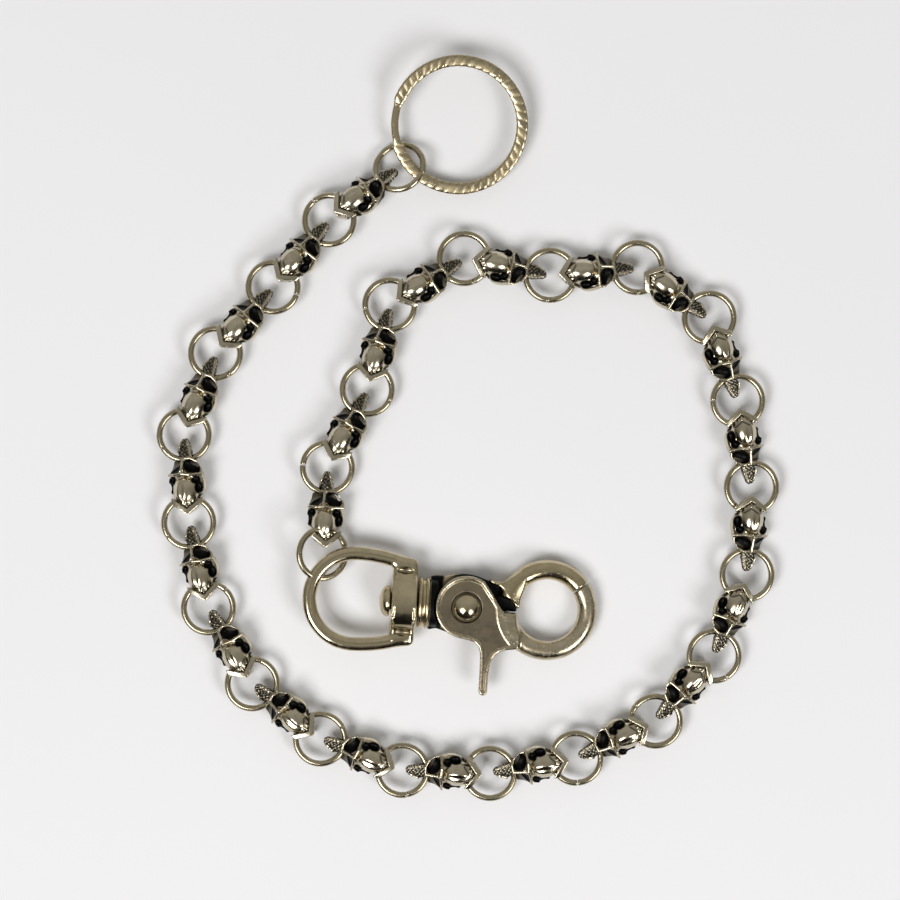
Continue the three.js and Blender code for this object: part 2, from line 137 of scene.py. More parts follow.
def rod(p, start, end, start_radius, end_radius):
    """A round bar between two points, with round ends."""
    along = np.subtract(end, start)
    offset = [p[i] - start[i] for i in range(3)]
    share = sum(offset[i] * along[i] for i in range(3)) / np.dot(along, along)
    share = np.clip(share, 0, 1)
    gap = sum((offset[i] - share * along[i]) ** 2 for i in range(3))
    return np.sqrt(gap) - (start_radius + (end_radius - start_radius) * share)


def block(p, low, high, corner):
    """A box with rounded edges."""
    reach = [
        np.abs(p[i] - (low[i] + high[i]) / 2) - (high[i] - low[i]) / 2 + corner
        for i in range(3)
    ]
    outside = np.sqrt(sum(np.maximum(r, 0) ** 2 for r in reach))
    inside = np.minimum(np.maximum(np.maximum(reach[0], reach[1]), reach[2]), 0)
    return outside + inside - corner


def drum(p, axis, centre, half_wide, half_high, start, end, corner):
    """An oval cylinder along an axis, with rounded edges."""
    across, up = [i for i in range(3) if i != axis]
    a = (p[across] - centre[across]) / half_wide
    b = (p[up] - centre[up]) / half_high
    radial = (np.hypot(a, b) - 1) * min(half_wide, half_high) + corner
    ends = np.abs(p[axis] - (start + end) / 2) - (end - start) / 2 + corner
    outside = np.hypot(np.maximum(radial, 0), np.maximum(ends, 0))
    return outside + np.minimum(np.maximum(radial, ends), 0) - corner


def hoop(p, centre, radius, bar):
    """A round bar bent to a full ring in the XY plane."""
    gap = np.hypot(p[0] - centre[0], p[1] - centre[1]) - radius
    return np.hypot(gap, p[2]) - bar


def outline(p, corners):
    """The flat distance to a closed outline in the XY plane, negative inside it."""
    nearest = np.full(p[0].shape, 1e9)
    inside = np.zeros(p[0].shape, bool)
    for (ax, ay), (bx, by) in zip(corners, corners[1:] + corners[:1]):
        along = (bx - ax, by - ay)
        dx, dy = p[0] - ax, p[1] - ay
        share = (dx * along[0] + dy * along[1]) / (along[0] ** 2 + along[1] ** 2)
        share = np.clip(share, 0, 1)
        gap = np.hypot(dx - share * along[0], dy - share * along[1])
        nearest = np.minimum(nearest, gap)
        spans = (ay > p[1]) != (by > p[1])
        if by != ay:
            inside ^= spans & (p[0] < ax + (p[1] - ay) * along[0] / along[1])
    return np.where(inside, -nearest, nearest)


def plate(flat, z, low, high, corner):
    """A plate with rounded edges, from the flat distance to its outline."""
    side = flat + corner
    ends = np.abs(z - (low + high) / 2) - (high - low) / 2 + corner
    outside = np.hypot(np.maximum(side, 0), np.maximum(ends, 0))
    return outside + np.minimum(np.maximum(side, ends), 0) - corner


def join(a, b, soft=0.0):
    """Two solids as one, run together over a soft width."""
    if soft <= 0:
        return np.minimum(a, b)
    closeness = np.maximum(soft - np.abs(a - b), 0) / soft
    return np.minimum(a, b) - closeness**2 * soft / 4


def cut(a, b, soft=0.0):
    """The first solid without the second."""
    return -join(-a, b, soft)


def curve_points(points, steps):
    """A smooth closed line through points, as corners."""
    made = []
    count = len(points)
    for i in range(count):
        p0, p1, p2, p3 = (np.array(points[(i + k - 1) % count], float) for k in range(4))
        for step in range(steps):
            t = step / steps
            made.append(tuple(0.5 * (
                2 * p1 + (p2 - p0) * t
                + (2 * p0 - 5 * p1 + 4 * p2 - p3) * t * t
                + (3 * p1 - p0 - 3 * p2 + p3) * t**3
            )))
    return made


def arc_points(centre, radius, start, end, steps):
    """Points round part of a circle, angles in degrees."""
    return [
        (
            centre[0] + radius * math.cos(math.radians(start + (end - start) * i / steps)),
            centre[1] + radius * math.sin(math.radians(start + (end - start) * i / steps)),
        )
        for i in range(steps + 1)
    ]


# ---- meshes ----
def cast(solid, low, high, step):
    """The skin of a field solid, as points and square faces."""
    axes = [np.arange(a, b + step, step) for a, b in zip(low, high)]
    value = solid(np.meshgrid(*axes, indexing="ij"))
    size = [n - 1 for n in value.shape]
    total = np.zeros((3, *size))
    count = np.zeros(size)
    crossings = []
    for axis in range(3):
        before = [slice(None)] * 3
        after = [slice(None)] * 3
        before[axis] = slice(None, -1)
        after[axis] = slice(1, None)
        a, b = value[tuple(before)], value[tuple(after)]
        crosses = (a < 0) != (b < 0)
        share = np.where(crosses, a / np.where(crosses, a - b, 1), 0)
        crossings.append((crosses, a < 0))
        u, v = (axis + 1) % 3, (axis + 2) % 3
        for du in (0, 1):
            for dv in (0, 1):
                window = [slice(None)] * 3
                window[u] = slice(du, du + size[u])
                window[v] = slice(dv, dv + size[v])
                here = crosses[tuple(window)]
                total[axis] += share[tuple(window)] * here
                total[u] += du * here
                total[v] += dv * here
                count += here
    used = count > 0
    number = np.full(size, -1)
    number[used] = np.arange(used.sum())
    cells = np.argwhere(used).T
    points = cells + total[:, used] / count[used]
    points = np.array([points[i] * step + low[i] for i in range(3)])
    faces = []
    for axis, (crosses, leaving) in enumerate(crossings):
        u, v = (axis + 1) % 3, (axis + 2) % 3
        place = np.argwhere(crosses)
        keep = (
            (place[:, u] > 0) & (place[:, v] > 0)
            & (place[:, u] < size[u]) & (place[:, v] < size[v])
        )
        place = place[keep]
        corners = []
        for du, dv in ((-1, -1), (0, -1), (0, 0), (-1, 0)):
            cell = place.copy()
            cell[:, u] += du
            cell[:, v] += dv
            corners.append(number[tuple(cell.T)])
        square = np.stack(corners, axis=1)
        flip = ~leaving[tuple(place.T)]
        square[flip] = square[flip][:, ::-1]
        faces.append(square)
    for _ in range(3):
        points = settle(solid, points, step)
    return points.T, np.concatenate(faces)


def settle(solid, points, step):
    """Points moved on to the skin of a field solid, by less than a third of a step."""
    probe = step * 0.05
    slope = []
    for axis in range(3):
        shift = np.zeros((3, 1))
        shift[axis] = probe
        slope.append((solid(points + shift) - solid(points - shift)) / (2 * probe))
    slope = np.array(slope)
    move = -solid(points) * slope / np.maximum((slope**2).sum(0), 0.05)
    length = np.maximum(np.sqrt((move**2).sum(0)), 1e-9)
    return points + move * np.minimum(1, 0.33 * step / length)


def sweep(sections):
    """Points and faces of a bar from a row of equal sections, with a fan at each end."""
    sections = np.array(sections, float)
    rows, sides = sections.shape[:2]
    faces = []
    for row in range(rows - 1):
        near = row * sides
        far = near + sides
        for side in range(sides):
            beside = (side + 1) % sides
            faces.append((near + side, near + beside, far + beside, far + side))
    points = np.vstack([sections.reshape(-1, 3), sections[0].mean(0), sections[-1].mean(0)])
    first = rows * sides
    last = first + 1
    end = (rows - 1) * sides
    for side in range(sides):
        beside = (side + 1) % sides
        faces.append((first, beside, side))
        faces.append((last, end + side, end + beside))
    return points, faces


def lathe(profile, sides):
    """A turned solid about Z, from [radius, height] pairs that start and end on the axis."""
    rings = profile[1:-1]
    points = [
        (
            radius * math.cos(2 * math.pi * i / sides),
            radius * math.sin(2 * math.pi * i / sides),
            height,
        )
        for radius, height in rings
        for i in range(sides)
    ]
    faces = [
        (
            row * sides + i, row * sides + (i + 1) % sides,
            (row + 1) * sides + (i + 1) % sides, (row + 1) * sides + i,
        )
        for row in range(len(rings) - 1)
        for i in range(sides)
    ]
    points += [(0, 0, profile[0][1]), (0, 0, profile[-1][1])]
    first, last = len(points) - 2, len(points) - 1
    top = (len(rings) - 1) * sides
    faces += [(first, (i + 1) % sides, i) for i in range(sides)]
    faces += [(last, top + i, top + (i + 1) % sides) for i in range(sides)]
    return np.array(points), faces


def mesh_of(name, points, faces, marks=None):
    """A smooth mesh in metres from points in millimetres, with named values at its points."""
    mesh = bpy.data.meshes.new(name)
    mesh.from_pydata((np.asarray(points) * MILLIMETRE).tolist(), [], [tuple(f) for f in faces])
    mesh.validate()
    mesh.shade_smooth()
    for mark, values in (marks or {}).items():
        attribute = mesh.attributes.new(mark, "FLOAT", "POINT")
        attribute.data.foreach_set("value", np.asarray(values, np.float32))
    return mesh


def turned_outward(mesh):
    """The mesh with its faces pointing out."""
    volume = 0.0
    for face in mesh.polygons:
        a, b, c = (mesh.vertices[i].co for i in face.vertices[:3])
        volume += a.dot(b.cross(c))
    if volume < 0:
        mesh.flip_normals()
    return mesh


def laid(mesh, place):
    """The mesh with its points moved to that place."""
    mesh.transform(place)
    return mesh


def piece(name, mesh, place, body, node, material, slot):
    """A shown piece that stands for a CAD node and rides on a body."""
    made = bpy.data.objects.new(name, mesh)
    bpy.context.scene.collection.objects.link(made)
    made.matrix_world = place
    if material.name not in [m.name for m in mesh.materials if m]:
        mesh.materials.append(material)
    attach(made, body)
    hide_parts(node)


# ---- materials ----
def add(tree, kind, settings=None, **sockets):
    """A node with its settings. Each named socket gets a value, or a wire from another socket."""
    node = tree.nodes.new(kind)
    for key, value in (settings or {}).items():
        setattr(node, key, value)
    for key, value in sockets.items():
        socket = node.inputs[key.replace("_", " ")]
        if isinstance(value, bpy.types.NodeSocket):
            tree.links.new(value, socket)
        else:
            socket.default_value = value
    return node


def ramp(tree, factor, *stops):
    """A colour ramp from (place, grey or colour) stops."""
    node = tree.nodes.new("ShaderNodeValToRGB")
    elements = node.color_ramp.elements
    while len(elements) < len(stops):
        elements.new(0.5)
    for element, (place, colour) in zip(elements, stops):
        element.position = place
        element.color = (*colour, 1) if isinstance(colour, tuple) else (colour,) * 3 + (1,)
    tree.links.new(factor, node.inputs["Fac"])
    return node.outputs["Color"]


def math_node(tree, operation, a, b=0.0, clamp=False):
    node = tree.nodes.new("ShaderNodeMath")
    node.operation = operation
    node.use_clamp = clamp
    for socket, value in zip(node.inputs, (a, b)):
        if isinstance(value, bpy.types.NodeSocket):
            tree.links.new(value, socket)
        else:
            socket.default_value = value
    return node.outputs[0]


def blend_colour(tree, factor, a, b):
    node = tree.nodes.new("ShaderNodeMix")
    node.data_type = "RGBA"
    for index, value in ((0, factor), (6, a), (7, b)):
        if isinstance(value, bpy.types.NodeSocket):
            tree.links.new(value, node.inputs[index])
        elif index == 0:
            node.inputs[index].default_value = value
        else:
            node.inputs[index].default_value = (*value, 1)
    return node.outputs[2]


def new_group(name, inputs, outputs):
    """An empty node group with named sockets. An input whose value is a tuple is a colour."""
    group = bpy.data.node_groups.new(name, "ShaderNodeTree")
    for socket, value in inputs.items():
        kind = "NodeSocketColor" if isinstance(value, tuple) else "NodeSocketFloat"
        made = group.interface.new_socket(name=socket, in_out="INPUT", socket_type=kind)
        made.default_value = (*value, 1) if isinstance(value, tuple) else value
    for socket, kind in outputs.items():
        group.interface.new_socket(name=socket, in_out="OUTPUT", socket_type=kind)
    entry = group.nodes.new("NodeGroupInput")
    leave = group.nodes.new("NodeGroupOutput")
    return group, entry.outputs, leave.inputs


def plating_wear_and_shade_group():
    """Plated metal with dulled patches, fine rub marks and dark specks, taken toward its darkest
    colour where a mesh value asks: real patina in some hollows, painted shade in others.
    """
    group, given, leave = new_group(
        "plating wear and painted shade",
        {
            "Bright": (0.7, 0.66, 0.58), "Dull": (0.4, 0.37, 0.3), "Oxide": (0.01, 0.01, 0.01),
            "Dulling": 0.3, "Polish": 0.14, "Roughened": 0.3, "Pitting": 0.1, "Patina_and_shade": 0.0,
        },
        {"Color": "NodeSocketColor", "Roughness": "NodeSocketFloat", "Height": "NodeSocketFloat"},
    )
    place = add(group, "ShaderNodeTexCoord").outputs["Object"]
    mottle = add(group, "ShaderNodeTexNoise", Vector=place, Scale=420.0, Detail=5.0, Roughness=0.62)
    patches = ramp(group, mottle.outputs["Fac"], (0.40, 0.0), (0.68, 1.0))
    fine = add(group, "ShaderNodeTexNoise", Vector=place, Scale=2600.0, Detail=4.0, Roughness=0.7)
    stretch = add(group, "ShaderNodeMapping", Vector=place, Scale=(1500.0, 9000.0, 9000.0))
    rubs = add(group, "ShaderNodeTexNoise", Vector=stretch.outputs[0], Scale=1.0, Detail=2.0)
    pits = add(group, "ShaderNodeTexVoronoi", Vector=place, Scale=1900.0)
    pit = ramp(group, pits.outputs["Distance"], (0.06, 1.0), (0.24, 0.0))
    some = ramp(group, fine.outputs["Fac"], (0.46, 0.0), (0.6, 1.0))
    pit = math_node(group, "MULTIPLY", pit, some)
    pit = math_node(group, "MULTIPLY", pit, given["Pitting"])
    dull = math_node(group, "MULTIPLY", patches, given["Dulling"])
    colour = blend_colour(group, dull, given["Bright"], given["Dull"])
    colour = blend_colour(group, math_node(group, "MULTIPLY", pit, 0.8), colour, given["Oxide"])
    # patina and painted shade: the colour goes to the darkest colour as far as the mesh value says
    colour = blend_colour(group, given["Patina_and_shade"], colour, given["Oxide"])
    group.links.new(colour, leave["Color"])
    gloss = math_node(group, "MULTIPLY", patches, given["Roughened"])
    gloss = math_node(group, "ADD", gloss, given["Polish"])
    rubbed = math_node(group, "MULTIPLY", rubs.outputs["Fac"], 0.05)
    gloss = math_node(group, "ADD", gloss, rubbed)
    # rougher where that patina and painted shade lies
    rough_in_patina_and_shade = math_node(group, "MULTIPLY", given["Patina_and_shade"], 0.22)
    gloss = math_node(group, "ADD", gloss, rough_in_patina_and_shade, clamp=True)
    group.links.new(gloss, leave["Roughness"])
    height = math_node(group, "MULTIPLY", rubs.outputs["Fac"], 0.12)
    swelling = math_node(group, "MULTIPLY", mottle.outputs["Fac"], 0.5)
    height = math_node(group, "ADD", height, swelling)
    height = math_node(group, "SUBTRACT", height, math_node(group, "MULTIPLY", pit, 2.0))
    group.links.new(height, leave["Height"])
    return group


PLATING = plating_wear_and_shade_group()


def metal(name, bump, mark=None, **values):
    """A worn plated metal. A mark is the mesh value that says how far a point is darkened: patina in
    some hollows, painted shade in others.
    """
    material = bpy.data.materials.new(name)
    material.use_nodes = True
    tree = material.node_tree
    tree.nodes.clear()
    plating = tree.nodes.new("ShaderNodeGroup")
    plating.node_tree = PLATING
    for key, value in values.items():
        socket = plating.inputs[key.capitalize()]
        socket.default_value = (*value, 1) if isinstance(value, tuple) else value
    if mark:
        reader = add(tree, "ShaderNodeAttribute", {"attribute_name": mark})
        tree.links.new(reader.outputs["Fac"], plating.inputs["Patina_and_shade"])
    relief = add(
        tree, "ShaderNodeBump", Strength=bump, Distance=0.0001, Height=plating.outputs["Height"]
    )
    shader = add(
        tree, "ShaderNodeBsdfPrincipled", Base_Color=plating.outputs["Color"], Metallic=1.0,
        Roughness=plating.outputs["Roughness"], Normal=relief.outputs[0],
    )
    out = tree.nodes.new("ShaderNodeOutputMaterial")
    tree.links.new(shader.outputs[0], out.inputs[0])
    return material


# its darkest colour, black, is painted shade in the swivel eye's notches, besides the dark specks
polished_nickel = metal(
    "polished_nickel", 0.25, "patina_and_shade", bright=(0.62, 0.54, 0.37), dull=(0.38, 0.31, 0.19),
    dulling=0.45, polish=0.10, roughened=0.12, pitting=0.15,
)
# its darkest colour, black, is painted shade in the slot, on the seat and on the neck, besides the
# dark specks
hook_nickel = metal(
    "hook_nickel", 0.3, "patina_and_shade", bright=(0.57, 0.49, 0.32), dull=(0.36, 0.29, 0.17), dulling=0.5,
    polish=0.12, roughened=0.14, pitting=0.3,
)
ring_nickel = metal(
    "ring_nickel", 0.3, bright=(0.48, 0.425, 0.30), dull=(0.26, 0.22, 0.135), dulling=0.6,
    polish=0.12, roughened=0.18, pitting=0.25,
)
aged_silver = metal(
    "aged_silver", 0.3, "patina_and_shade", bright=(0.62, 0.56, 0.43), dull=(0.34, 0.29, 0.20), dulling=0.55,
    polish=0.10, roughened=0.16, pitting=0.3,
)
# its darkest colour is the lever face's own darker tone and a painted shadow round the rivet's seat
cast_nickel = metal(
    "cast_nickel", 0.7, "patina_and_shade", bright=(0.60, 0.53, 0.39), dull=(0.34, 0.28, 0.18), dulling=0.6,
    polish=0.15, roughened=0.2, pitting=1.0, oxide=(0.055, 0.040, 0.023),
)
# its darkest colour is the dark specks and the darker grooves of the key ring's rope cuts
pale_nickel = metal(
    "pale_nickel", 0.4, "patina_and_shade", bright=(0.55, 0.47, 0.31), dull=(0.34, 0.275, 0.165), dulling=0.6,
    polish=0.18, roughened=0.2, pitting=0.3, oxide=(0.10, 0.075, 0.04),
)
spring_steel = metal(
    "spring_steel", 0.3, bright=(0.5, 0.49, 0.46), dull=(0.3, 0.28, 0.25), dulling=0.5,
    polish=0.2, roughened=0.2, pitting=0.2,
)


# ---- skull link: the snout is at +X, its two ring bores run along Y, and Z is up ----
def rolled(p):
    """The place of points in the face's own frame, which is rolled about the chain."""
    cos, sin = math.cos(FACE_ROLL), math.sin(FACE_ROLL)
    return [p[0], p[1] * cos - p[2] * sin, p[1] * sin + p[2] * cos]


def mirrored(q):
    return [q[0], np.abs(q[1]), q[2]]


def skull_mass(p):
    """The skull before anything is cut out of it."""
    q = rolled(p)
    m = mirrored(q)
    cranium = egg(q, (-2.7, 0, 0.1), (4.0, 2.75, 3.15))
    face = egg(m, (2.1, 1.2, -0.35), (2.3, 2.75, 2.5))
    mass = join(cranium, face, 0.9)
    snout = rod([q[0], q[1], q[2] * 0.95], (3.6, 0, 0.0), (7.5, 0, -0.4), 2.15, 0.95)
    snout = cut(snout, 1.75 - 0.30 * (q[0] - 3.6) - q[2], 0.3)
    mass = join(mass, snout, 0.5)
    cheek = egg(m, (-1.1, 2.75, -0.3), (2.3, 1.35, 1.65))
    mass = join(mass, cheek, 0.4)
    jowl = rod(m, (0.6, 2.4, -1.5), (-4.2, 1.9, -1.4), 1.1, 0.8)
    mass = join(mass, jowl, 0.6)
    neck = rod(p, (-5.5, 0, 0), (-3.5, 0, 0), 1.5, 2.4)
    return join(mass, neck, 0.4)


def skull_ridges(p):
    """The raised lines: brows, nose, the rims round the eye sockets and the upper jaw."""
    q = rolled(p)
    m = mirrored(q)
    inner_brow = rod(m, (1.1, 0.0, 2.8), (0.85, 1.7, 2.45), 0.28, 0.28)
    outer_brow = rod(m, (0.85, 1.7, 2.45), (0.95, 4.0, 1.35), 0.28, 0.30)
    nose = rod(q, (1.1, 0, 2.8), (4.3, 0, 1.75), 0.22, 0.24)
    rim = rod(m, (4.2, 0.2, 1.75), (4.3, 1.5, 1.40), 0.24, 0.27)
    corner = rod(m, (4.3, 1.5, 1.40), (3.6, 2.9, 0.95), 0.27, 0.28)
    outer = join(
        rod(m, (3.6, 2.9, 0.95), (2.3, 3.8, 0.85), 0.28, 0.28),
        rod(m, (2.3, 3.8, 0.85), (0.95, 3.95, 1.30), 0.28, 0.28), 0.1,
    )
    jaw = rod(m, (4.2, 1.85, 1.2), (7.8, 0.65, 0.1), 0.22, 0.2)
    ridges = join(join(inner_brow, outer_brow, 0.1), nose, 0.2)
    ridges = join(ridges, join(join(rim, corner, 0.1), outer, 0.1), 0.15)
    return join(ridges, jaw, 0.2)


def skull_hollows(p):
    """Eye sockets, temples and the hollows above the cheekbones."""
    q = rolled(p)
    m = mirrored(q)
    turn = math.radians(-62)
    dx, dy = m[0] - 2.55, m[1] - 2.05
    along = dx * math.cos(turn) + dy * math.sin(turn)
    side = -dx * math.sin(turn) + dy * math.cos(turn)
    socket = egg([along, side, m[2]], (0, 0, 2.1), (2.05, 1.38, 1.75))
    temple = egg(m, (-0.2, 2.75, 1.75), (0.80, 0.85, 1.15))
    above_cheek = egg(m, (-1.9, 3.15, 1.0), (1.25, 0.70, 1.0))
    return join(socket, join(temple, above_cheek, 0.2), 0.15)


def collar_band(p):
    """The pointed hood over the rear eye, in front of which a toothed groove runs."""
    aside = np.abs(p[1])
    behind = p[0] + HOOD_TIP - 0.75 * aside
    level = np.abs(p[2] - (2.35 - 0.06 * aside**2)) - 0.45
    hood = np.maximum(np.maximum(-behind, behind - 1.25), np.maximum(level, aside - 3.2))
    side = (np.hypot(p[1] / 2.3, p[2] / 2.55) - 1) * 2.3
    lower = np.maximum(np.maximum(-behind, behind - 1.25), np.maximum(side, p[2]))
    hood = join(hood, lower)
    step = np.maximum(np.maximum(-(behind - 1.6), behind - 2.5), side - 0.12)
    beads = 0.10 * np.cos(np.arctan2(p[1], p[2]) * 22) * (np.abs(behind - 2.05) < 0.45)
    return join(hood, step - beads, 0.15)


def ring_channels(p):
    """Where the two jump rings' wires pass, flaring to the sides."""
    flare = np.abs(p[1])
    rear = hoop(p, (-RING_REACH, 0), RING_RADIUS, 0.92 + 0.27 * flare)
    front = hoop(p, (RING_REACH, 0), RING_RADIUS, 0.92 + 0.24 * flare)
    mouth = np.hypot(p[0] - HALF_SPACING, p[2]) - (0.96 + 0.06 * flare + 0.14 * flare**2)
    return np.minimum(np.minimum(rear, front), mouth)


def snout_grain(q):
    """The uneven furrows cast into the snout, between -1 and 1."""
    first = np.sin(q[0] * 7.9 + 2.0 * np.sin(q[1] * 4.7 + 0.8))
    second = np.sin(q[1] * 8.6 + 2.3 * np.sin(q[0] * 4.1 + 1.9))
    third = np.sin(q[0] * 10.7 - q[1] * 7.3)
    return (first + second + third) / 3


def skull_solid(p):
    """The whole casting, its underside kept clear of the table."""
    q = rolled(p)
    underside = 3.3 + 0.5 * np.clip((p[2] + 1.5) / 1.5, 0, 1) + 3 * np.maximum(p[2], 0)
    mass = np.maximum(skull_mass(p), np.hypot(p[1], p[2]) - underside)
    furrow = rod(q, (-5.2, 0, 3.65), (0.4, 0, 3.35), 0.32, 0.46)
    mass = cut(mass, furrow, 0.6)
    mass = join(mass, collar_band(p), 0.15)
    mass = cut(mass, skull_hollows(p), 0.15)
    mass = join(mass, skull_ridges(p), 0.15)
    furrowed = np.clip((q[0] - 4.3) / 0.5, 0, 1) * np.clip((1.7 - np.abs(q[1])) / 0.5, 0, 1)
    mass = mass - 0.11 * snout_grain(q) * furrowed
    return cut(mass, ring_channels(p), 0.12)


def skull_recess(p):
    """How black a point is: deep in a hollow, on the snout's grain or in a ring's channel."""
    q = rolled(p)
    hollow = np.clip((0.30 - skull_hollows(p)) / 0.16, 0, 1)
    raised = np.clip((0.14 - skull_ridges(p)) / 0.10, 0, 1)
    channel = np.clip((0.14 - ring_channels(p)) / 0.18, 0, 1)
    snout = np.clip((q[0] - 4.2) / 0.4, 0, 1) * np.clip(1.15 - 1.6 * snout_grain(q), 0, 1)
    behind = p[0] + HOOD_TIP - 0.72 * np.abs(p[1])
    groove = np.clip(1 - np.abs(behind - 1.42) / 0.26, 0, 1)
    groove = groove + np.clip(1 - np.abs(behind - 2.75) / 0.35, 0, 1)
    groove = np.where(p[0] < -3.6, groove, 0)
    dark = np.maximum(np.maximum(hollow, channel), np.maximum(snout * 0.95, groove))
    return np.clip(dark * (1 - raised), 0, 1)


def link_mesh():
    points, faces = cast(skull_solid, (-8.0, -5.0, -4.3), (8.9, 5.0, 4.3), LINK_GRID)
    return mesh_of("skull_link", points, faces, {"patina_and_shade": skull_recess(points.T)})


# ---- jump ring: round wire, its two ends nearly meeting ----
UP = np.array((0, 0, 1))


def round_section(centre, out, radius, sides):
    """A circle of points in the plane of the outward direction and Z."""
    turns = (2 * math.pi * k / sides for k in range(sides))
    return [centre + radius * (out * math.cos(t) + UP * math.sin(t)) for t in turns]


def ring_mesh(name, opening, shift):
    """A ring with its ends parted by an opening in degrees and shifted sideways in millimetres."""
    steps = 120
    sides = 20
    wire = RING_WIRE / 2
    sections = []
    for i in range(steps + 1):
        share = i / steps
        angle = math.radians(opening / 2 + (360 - opening) * share)
        out = np.array((math.cos(angle), math.sin(angle), 0))
        centre = out * RING_RADIUS + UP * shift * (share - 0.5)
        radius = wire * (0.93 if i in (0, steps) else 1.0)
        sections.append(round_section(centre, out, radius, sides))
    points, faces = sweep(sections)
    return turned_outward(mesh_of(name, points, faces))


# ---- key ring ----
KEY_OUTSIDE = 14.5
KEY_BAND = 2.4
KEY_TURN = 1.0  # the thickness of one turn
KEY_LEVEL = 0.6  # of each turn's middle, above or below the ring's own plane
KEY_CROSSING = 14  # in degrees, half of the stretch where the turns cross over
KEY_CROSSING_AT = 178
KEY_END_GAP = 3
ROPE_CUTS = 48
ROPE_PLAIN = 15  # in degrees, how far the wire is left uncut beside the crossing


def key_ring_place():
    """The ring's own frame, from a plane and a circle laid through its CAD node."""
    co = np.array([v.co for v in frame["nodes"]["key_ring"].data.vertices])
    middle = co.mean(0)
    normal = Vector(np.linalg.svd(co - middle)[2][2])
    normal = upward(normal)
    place = place_of(Vector(middle), X_AXIS, normal)
    flat = np.array([place.inverted() @ Vector(v) for v in co])
    sides = np.column_stack([2 * flat[:, 0], 2 * flat[:, 1], np.ones(len(flat))])
    fit = np.linalg.lstsq(sides, (flat[:, :2] ** 2).sum(1), rcond=None)[0]
    return place @ Matrix.Translation((fit[0], fit[1], 0))


def key_ring_mesh():
    """Flat wire in two turns that cross over once, cut like rope except near the crossing."""
    start = KEY_CROSSING + KEY_END_GAP
    end = 720 - start
    steps = 620
    sides = 28
    radius = KEY_OUTSIDE - KEY_BAND / 2
    sections = []
    marks = []
    for i in range(steps + 1):
        angle = start + (end - start) * i / steps
        share = max(-1, min(1, (angle - 360) / KEY_CROSSING))
        heading = math.radians(angle + KEY_CROSSING_AT)
        out = np.array((math.cos(heading), math.sin(heading), 0))
        plain = 1 - min(1, max(0, (abs(angle - 360) - ROPE_PLAIN) / 6))
        taper = min(1, 0.8 + 0.2 * min(i, steps - i) / 5)
        half_wide = KEY_BAND / 2 * (1 - 0.34 * plain) * taper
        half_thick = KEY_TURN * 0.47 * taper
        section = []
        for k in range(sides):
            t = 2 * math.pi * k / sides
            across = math.copysign(abs(math.cos(t)) ** 0.7, math.cos(t))
            up = math.copysign(abs(math.sin(t)) ** 0.7, math.sin(t))
            twist = math.radians(angle) * ROPE_CUTS + 2.4 * across + 1.2 * up
            groove = max(0.0, math.cos(twist)) ** 2 * (1 - plain)
            aside = across * half_wide * (1 - 0.07 * groove)
            level = KEY_LEVEL * share + up * half_thick * (1 - 0.16 * groove)
            section.append(out * (radius + aside) + UP * level)
            # the grooves of the rope cuts are drawn darker
            marks.append(0.45 * groove)
        sections.append(section)
    points, faces = sweep(sections)
    return turned_outward(mesh_of("key_ring", points, faces, {"patina_and_shade": marks + [0, 0]}))


# ---- swivel eye ----
BOW_LINE = arc_points((BOW_CENTRE, 0), BOW_RADIUS, 180, 90, 24) + [
    (-11.6, 9.44), (-10.4, 9.38), (-9.2, 9.26), (-8.0, 9.10),
    (-6.8, 8.90), (-5.5, 8.62), (-4.0, 8.22), (-2.6, 7.8),
]


def bow_distance(p):
    """The flat distance to the bow's middle line."""
    nearest = np.full(p[0].shape, 1e9)
    aside = np.abs(p[1])
    for (ax, ay), (bx, by) in zip(BOW_LINE, BOW_LINE[1:]):
        along = (bx - ax, by - ay)
        dx, dy = p[0] - ax, aside - ay
        share = (dx * along[0] + dy * along[1]) / (along[0] ** 2 + along[1] ** 2)
        share = np.clip(share, 0, 1)
        nearest = np.minimum(nearest, np.hypot(dx - share * along[0], dy - share * along[1]))
    return nearest


def foot_notch(p):
    """The hollow between each foot of the bow and the barrel's top."""
    return egg([p[0], np.abs(p[1]), p[2]], (-2.6, 6.5, 1.75), (2.0, 0.75, 1.0))


def eye_solid(p):
    """The barrel, the bow and the two feet that join them."""
    flat = bow_distance(p)
    wide = (flat / BOW_HALF_WIDE) ** BOW_SQUARENESS
    high = (np.abs(p[2]) / BOW_HALF_HIGH) ** BOW_SQUARENESS
    bow = ((wide + high) ** (1 / BOW_SQUARENESS) - 1) * BOW_HALF_HIGH
    seam = np.hypot(flat, np.abs(p[2]) - 1.30) - 0.15
    bow = cut(bow, seam, 0.1)
    cos, sin = math.cos(BARREL_LEAN), math.sin(BARREL_LEAN)
    turned = [p[0], p[1] * cos + p[2] * sin, p[2] * cos - p[1] * sin]
    barrel = drum(turned, 0, (0, 0, 0), *BARREL_HALF, -BARREL_LENGTH, 0, 0.35)
    slanted = p[2] * (1 + 0.16 * np.maximum(np.abs(p[1]) - 4.5, 0))
    foot = block(
        [p[0], np.abs(p[1]), slanted], (-BARREL_LENGTH, 3.0, -1.9), (0, 9.15, 1.9), 1.3
    )
    solid = join(barrel, foot, 0.3)
    solid = join(solid, bow, 0.6)
    solid = cut(solid, foot_notch(p), 0.2)
    for edge in (-4.75, -0.45):
        line = np.hypot(p[0] - edge, (np.hypot(p[1] / 5.9, p[2] / 4.3) - 1) * 4.3) - 0.12
        solid = cut(solid, line, 0.1)
    bore = np.maximum(np.hypot(p[1], p[2]) - SWIVEL_BORE, -6.5 - p[0])
    return cut(solid, bore, 0.2)


def eye_notch_shade(p):
    # painted shade in the hollow of each foot's notch
    return 0.8 * np.clip((0.12 - foot_notch(p)) / 0.2, 0, 1)


